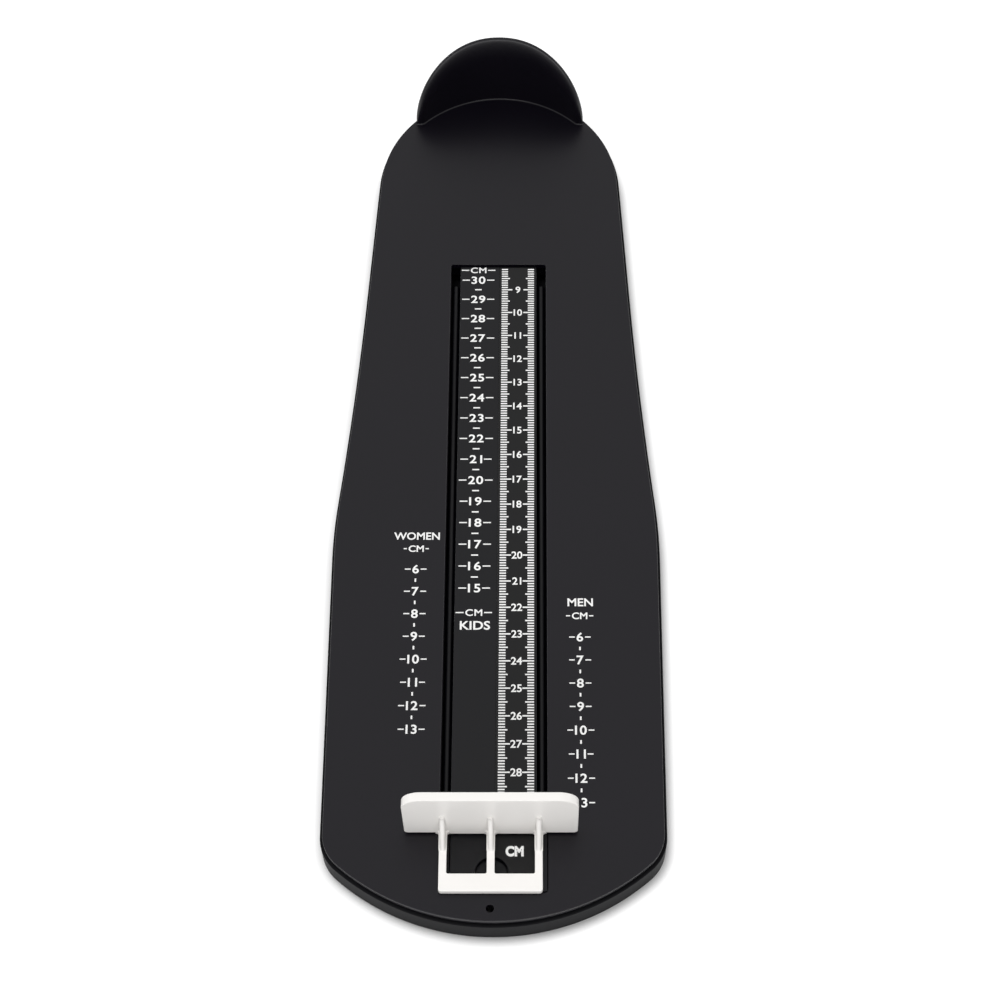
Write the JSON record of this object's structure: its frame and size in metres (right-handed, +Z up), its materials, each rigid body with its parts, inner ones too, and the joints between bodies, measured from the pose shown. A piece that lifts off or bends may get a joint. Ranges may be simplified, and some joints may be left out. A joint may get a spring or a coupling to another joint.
{
  "type": "foot measuring device",
  "caption": "Flat foot gauge with a raised curved heel cup and a toe stop that slides in a channel over a printed scale.",
  "frame": {"origin": "on the table under the middle of the body: bottom centre of the bounding box", "axes": "+Z up; +Y along the body from the toe end to the heel cup; +X to the right seen from the toe end"},
  "size_m": [0.113, 0.334, 0.0472],
  "materials": {
    "black_abs": "fine moulded texture",
    "scale_black": "smooth moulded, printed white",
    "ruler_film": "printed strip, satin",
    "white_abs": "smooth moulded, satin",
    "zinc_steel": "zinc plated",
    "foot_rubber": "matt"
  },
  "bodies": {
    "base": {"base_tray": "black_abs", "top_deck": "black_abs", "heel_cup": "black_abs", "scale_plate": "scale_black", "ruler_strip": "ruler_film", "case_screw_1": "zinc_steel", "case_screw_2": "zinc_steel", "case_screw_3": "zinc_steel", "case_screw_4": "zinc_steel", "case_screw_5": "zinc_steel", "case_screw_6": "zinc_steel", "case_screw_7": "zinc_steel", "case_screw_8": "zinc_steel", "case_screw_9": "zinc_steel", "case_screw_10": "zinc_steel", "cup_screw_1": "zinc_steel", "cup_screw_2": "zinc_steel", "cup_screw_3": "zinc_steel", "rubber_foot_1": "foot_rubber", "rubber_foot_2": "foot_rubber", "rubber_foot_3": "foot_rubber", "rubber_foot_4": "foot_rubber", "rubber_foot_5": "foot_rubber", "rubber_foot_6": "foot_rubber"},
    "toe_stop": {"toe_stop": "white_abs"}
  },
  "joints": [
    {"name": "toe_stop_slide", "type": "slide", "parent": "base", "child": "toe_stop", "axis": [0, 1, 0], "range_m": [0, 0.219]}
  ]
}
